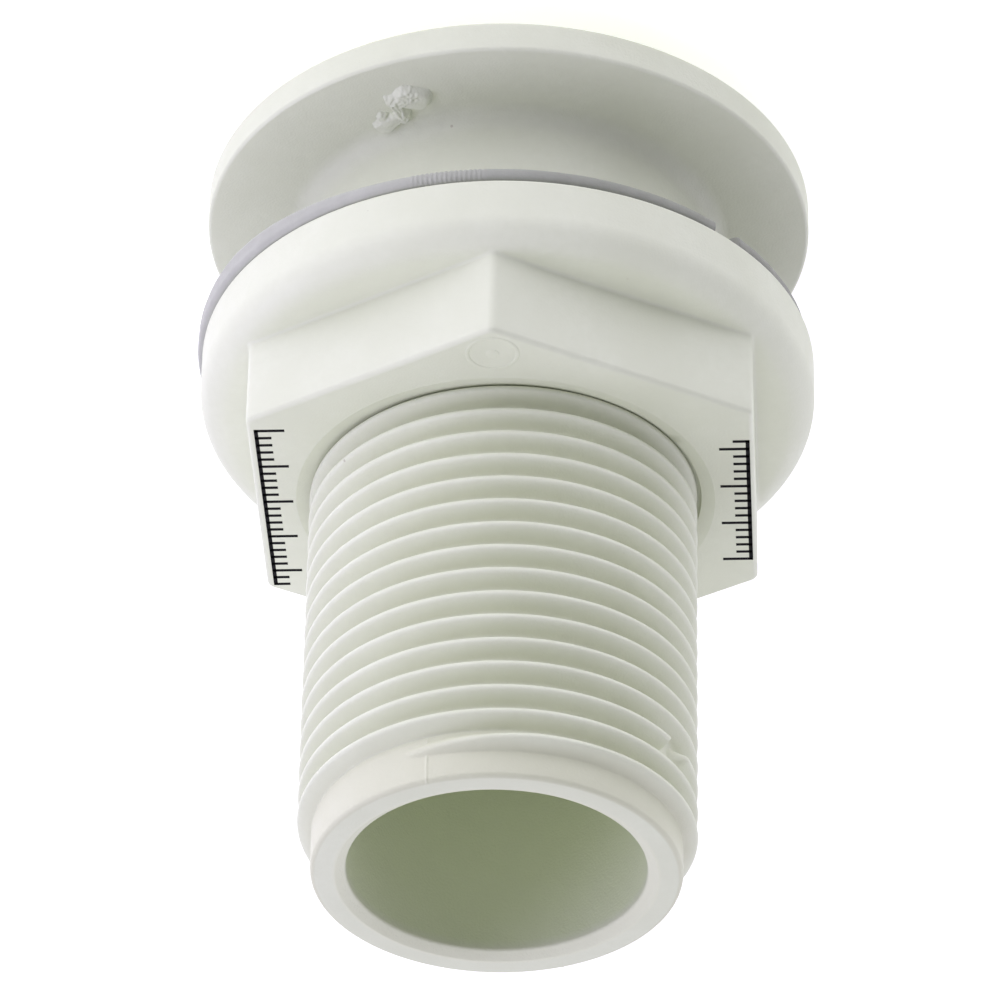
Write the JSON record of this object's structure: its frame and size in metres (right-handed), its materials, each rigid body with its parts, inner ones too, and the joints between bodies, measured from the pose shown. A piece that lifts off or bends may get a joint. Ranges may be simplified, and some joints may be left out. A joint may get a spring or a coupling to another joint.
{
  "type": "thru hull fitting",
  "caption": "Straight plastic thru hull fitting: mushroom head, threaded tail with a through waterway, flanged hex nut and a rubber sealing washer.",
  "frame": {"origin": "on the bore's axis, in the plane of the head's flat underside, where the outside of the hull seats", "axes": "+Z along the bore from the head to the tail, so inboard; -Y towards the corner of the nut that is nearest to a viewer in front"},
  "size_m": [0.0536, 0.0536, 0.0725],
  "materials": {
    "body_plastic": "moulded off-white plastic, fine satin",
    "nut_plastic": "moulded off-white plastic, fine satin",
    "washer_rubber": "pale grey moulded rubber, dull"
  },
  "bodies": {
    "fitting": {"fitting_body": "body_plastic"},
    "washer": {"sealing_washer": "washer_rubber"},
    "nut": {"flanged_nut": "nut_plastic"}
  },
  "joints": [
    {"name": "washer_slide", "type": "slide", "parent": "fitting", "child": "washer", "axis": [0, 0, 1], "range_m": [-0.00958, 0.0439]},
    {"name": "nut_turn", "type": "hinge", "parent": "washer", "child": "nut", "pos_m": [0, 0, 0.0141], "axis": [0, 0, 1], "range_deg": [-1476, 6840]}
  ],
  "couplings": [
    {"joint": "washer_slide", "follows": "nut_turn", "m_per_rad": 0.00036749}
  ]
}
